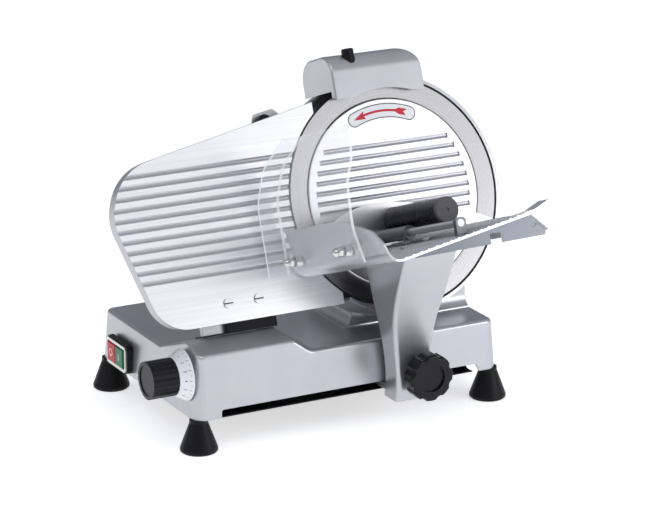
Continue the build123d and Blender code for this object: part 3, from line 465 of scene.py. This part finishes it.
def cone_frame(angle, slant, height=0.0):
    """Place and axes on the dial's cone, at an angle from the operator's side upwards.
    slant is mm down the cone from the knob and height mm off it."""
    turn = math.radians(angle)
    radial = Vector((0, -math.cos(turn), math.sin(turn)))
    down = (Vector((cone_depth, 0, 0)) + radial * (cone_large - cone_small)) / cone_slant
    off = (Vector((cone_small - cone_large, 0, 0)) + radial * cone_depth) / cone_slant
    start = Vector((scale_low[0], dial_centre[1], dial_centre[2])) + radial * cone_small
    return start + (down * slant + off * height) * MM, down.cross(off), down, off


def dial_angle(number):
    """Where a number stands on the dial while the dial is at zero."""
    return zero_angle - math.degrees(dial_range) * number / last_number


def dial_tick(index, angle, length, half_width=0.22):
    start = tick_end - length
    outline = [(-half_width, start), (half_width, start), (half_width, tick_end),
               (-half_width, tick_end)]

    def place(a, b, height):
        spot, along = cone_frame(angle, b, height)[:2]
        return spot + along * a * MM

    prism(f"dial_tick_{index:02d}", outline, place, -0.05, 0.06, ink_black, "dial")


def dial_number(number):
    """A small number that stands outwards from the dial's axis."""
    curve = bpy.data.curves.new(f"dial_number_{number:02d}", "FONT")
    curve.body = str(number)
    curve.size = number_size * MM
    curve.align_x = "CENTER"
    curve.align_y = "CENTER"
    curve.extrude = 0.05 * MM
    curve.materials.append(ink_black)
    piece = bpy.data.objects.new(curve.name, curve)
    bpy.context.collection.objects.link(piece)
    spot, along, down, off = cone_frame(dial_angle(number), number_place)
    piece.matrix_world = Matrix.Translation(spot) @ Matrix((along, down, off)).transposed().to_4x4()
    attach(piece, "dial")


for half_step in range(2 * last_number + 1):
    dial_tick(half_step, dial_angle(half_step / 2), minor_tick if half_step % 2 else major_tick)
for number in range(last_number + 1):
    dial_number(number)


# ---------------------------------------------------------------- floor, world and lights
def add_floor():
    size = 40.0
    mesh = bpy.data.meshes.new("floor")
    corners = [(-size, -size, ground), (size, -size, ground), (size, size, ground),
               (-size, size, ground)]
    mesh.from_pydata(corners, [], [(0, 1, 2, 3)])
    floor = bpy.data.objects.new("floor", mesh)
    bpy.context.collection.objects.link(floor)
    mesh.materials.append(new_material("floor_white", (0.90, 0.90, 0.91), 0.0, 0.7,
                                       Emission_Color=(1, 1, 1, 1), Emission_Strength=0.62))


def add_world():
    """A pale room: bright overhead and in front, dimmer low down behind the machine."""
    world = bpy.data.worlds.new("studio")
    world.use_nodes = True
    tree = world.node_tree
    background = tree.nodes["Background"]
    direction = tree.nodes.new("ShaderNodeTexCoord").outputs["Generated"]
    split = tree.nodes.new("ShaderNodeSeparateXYZ")
    tree.links.new(direction, split.inputs["Vector"])
    behind = tree.nodes.new("ShaderNodeMapRange")
    behind.interpolation_type = "SMOOTHSTEP"
    behind.inputs["From Min"].default_value = -0.1
    behind.inputs["From Max"].default_value = 0.7
    tree.links.new(split.outputs["Y"], behind.inputs["Value"])
    low = tree.nodes.new("ShaderNodeMapRange")
    low.interpolation_type = "SMOOTHSTEP"
    low.inputs["From Min"].default_value = 0.35
    low.inputs["From Max"].default_value = 0.85
    low.inputs["To Min"].default_value = 1.0
    low.inputs["To Max"].default_value = 0.0
    tree.links.new(split.outputs["Z"], low.inputs["Value"])
    dim = tree.nodes.new("ShaderNodeMath")
    dim.operation = "MULTIPLY"
    tree.links.new(behind.outputs["Result"], dim.inputs[0])
    tree.links.new(low.outputs["Result"], dim.inputs[1])
    mix = tree.nodes.new("ShaderNodeMix")
    mix.data_type = "RGBA"
    mix.inputs[6].default_value = (0.92, 0.94, 1.0, 1)
    mix.inputs[7].default_value = (0.46, 0.48, 0.54, 1)
    tree.links.new(dim.outputs["Value"], mix.inputs["Factor"])
    tree.links.new(mix.outputs[2], background.inputs["Color"])
    background.inputs["Strength"].default_value = 0.50
    bpy.context.scene.world = world


def add_softbox(name, azimuth, elevation, distance, width, height, watts):
    """A rectangular light that faces the machine from a direction counted like the camera's."""
    light = bpy.data.lights.new(name, "AREA")
    light.shape = "RECTANGLE"
    light.size = width
    light.size_y = height
    light.energy = watts
    lamp = bpy.data.objects.new(name, light)
    bpy.context.collection.objects.link(lamp)
    lamp.location = look_target + from_direction(azimuth, elevation) * distance
    lamp.rotation_euler = (look_target - lamp.location).to_track_quat("-Z", "Y").to_euler()


def from_direction(azimuth, elevation):
    """Unit vector towards a viewer who stands at an azimuth from the front, at an elevation."""
    turn, rise = math.radians(azimuth), math.radians(elevation)
    return Vector((math.sin(turn) * math.cos(rise), -math.cos(turn) * math.cos(rise), math.sin(rise)))


view_azimuth, view_elevation, view_distance = -28.12, 17.44, 3.2
focal_length = 164.9
look_offset = Vector((-0.0157, -0.0538, 0.2))
look_target = Vector((0, 0, ground)) + look_offset


def add_camera():
    camera_data = bpy.data.cameras.new("camera")
    camera_data.sensor_width = 36.0
    camera_data.lens = focal_length
    camera = bpy.data.objects.new("camera", camera_data)
    bpy.context.collection.objects.link(camera)
    camera.location = look_target + from_direction(view_azimuth, view_elevation) * view_distance
    camera.rotation_euler = (look_target - camera.location).to_track_quat("-Z", "Y").to_euler()
    bpy.context.scene.camera = camera


add_floor()
add_world()
for name, azimuth, elevation, distance, width, height, watts in (
        ("overhead", -20, 62, 2.6, 2.2, 1.4, 12),
        ("front_right", 30, 24, 2.8, 1.6, 1.2, 4.5),
        ("right_fill", 44, 8, 1.0, 0.5, 0.4, 1.8),
        ("left_edge", -95, 30, 2.6, 1.0, 1.6, 4)):
    add_softbox(name, azimuth, elevation, distance, width, height, watts)
add_camera()
bpy.context.scene.view_settings.view_transform = "Standard"
